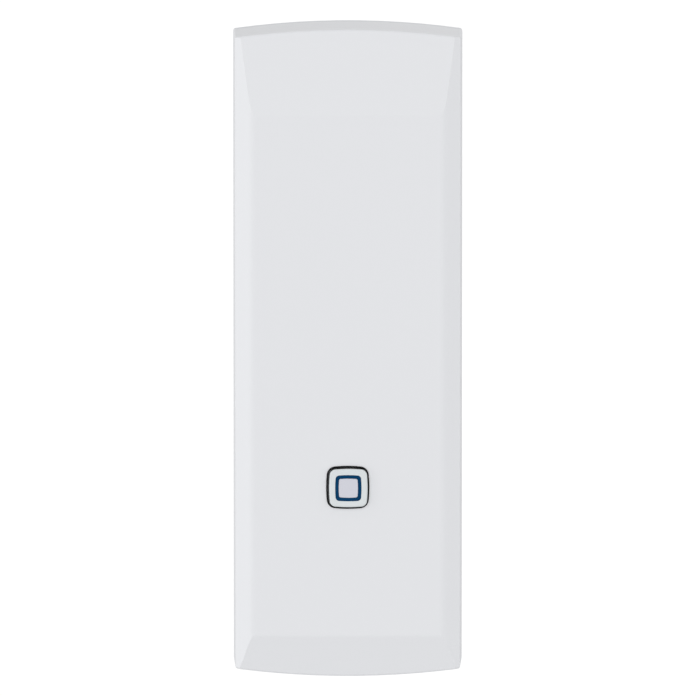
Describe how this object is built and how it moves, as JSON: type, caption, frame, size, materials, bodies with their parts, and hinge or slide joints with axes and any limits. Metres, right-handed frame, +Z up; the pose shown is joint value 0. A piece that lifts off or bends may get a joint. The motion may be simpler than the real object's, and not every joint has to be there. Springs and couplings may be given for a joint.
{
  "type": "doorbell push unit",
  "caption": "Slim upright wall doorbell unit with a bevelled white cover, a lit square push button and round cells inside, held by a slide-on wall plate.",
  "frame": {"origin": "on the wall face, at the middle of the unit's width and height", "axes": "+Z up, +Y into the wall, +X to the right as one faces the unit; the front faces -Y"},
  "size_m": [0.046, 0.0258, 0.1304],
  "materials": {
    "cover_white": "satin, fine texture",
    "housing_white": "satin, fine texture",
    "plate_plastic": "matt",
    "silicone_grey": "matt, dark grey",
    "cradle_plastic": "matt",
    "cell_jacket": "satin sleeve, plain",
    "nickel_spring": "nickel plated",
    "board_mask": "glossy solder mask",
    "screw_steel": "zinc plated",
    "switch_plastic": "matt",
    "tin_steel": "tinned",
    "stem_plastic": "satin",
    "lamp_plastic": "glossy",
    "radio_mask": "glossy solder mask",
    "copper_wire": "bright copper",
    "chip_epoxy": "matt epoxy",
    "capacitor_aluminium": "satin",
    "chip_ceramic": "matt",
    "bezel_black": "glossy",
    "retainer_plastic": "satin",
    "insert_brass": "satin",
    "button_grey": "satin, smooth",
    "ring_blue": "translucent, glossy",
    "core_grey": "satin, smooth"
  },
  "bodies": {
    "wall_plate": {"wall_plate": "plate_plastic"},
    "housing": {"rear_housing": "housing_white", "seal_gasket": "silicone_grey", "battery_cradle": "cradle_plastic", "battery_left": "cell_jacket", "battery_right": "cell_jacket", "positive_contact": "nickel_spring", "negative_contact": "nickel_spring", "negative_spring": "nickel_spring", "bridge_contact": "nickel_spring", "bridge_spring": "nickel_spring", "main_board": "board_mask", "board_screws": "screw_steel", "switch_body": "switch_plastic", "switch_frame": "tin_steel", "switch_terminals": "tin_steel", "lamps": "lamp_plastic", "radio_board": "radio_mask", "radio_shield": "tin_steel", "antenna_coil": "copper_wire", "controller_chip": "chip_epoxy", "controller_pins": "tin_steel", "capacitor_base": "switch_plastic", "capacitor_can": "capacitor_aluminium", "timing_crystal": "tin_steel", "small_parts": "chip_ceramic"},
    "cover": {"front_cover": "cover_white", "button_bezel": "bezel_black", "button_seal": "silicone_grey", "button_retainer": "retainer_plastic", "retainer_screws": "screw_steel", "button_spring": "nickel_spring", "lock_insert": "insert_brass", "lock_screw": "screw_steel"},
    "button": {"button_cap": "button_grey", "light_ring": "ring_blue", "button_core": "core_grey"},
    "switch_stem": {"switch_stem": "stem_plastic"}
  },
  "joints": [
    {"name": "unit_lift", "type": "slide", "parent": "wall_plate", "child": "housing", "axis": [0, 0, 1], "range_m": [0, 0.006]},
    {"name": "cover_pull", "type": "slide", "parent": "housing", "child": "cover", "axis": [0, -1, 0], "range_m": [0, 0.03]},
    {"name": "button_press", "type": "slide", "parent": "cover", "child": "button", "axis": [0, 1, 0], "range_m": [0, 0.0005], "stiffness_N_per_m": 3000, "springref_m": -0.0004, "deforming": ["button_spring"]},
    {"name": "switch_press", "type": "slide", "parent": "housing", "child": "switch_stem", "axis": [0, 1, 0], "range_m": [0, 0.0006]}
  ],
  "couplings": [
    {"joint": "switch_press", "follows": "button_press", "ratio": 1}
  ]
}
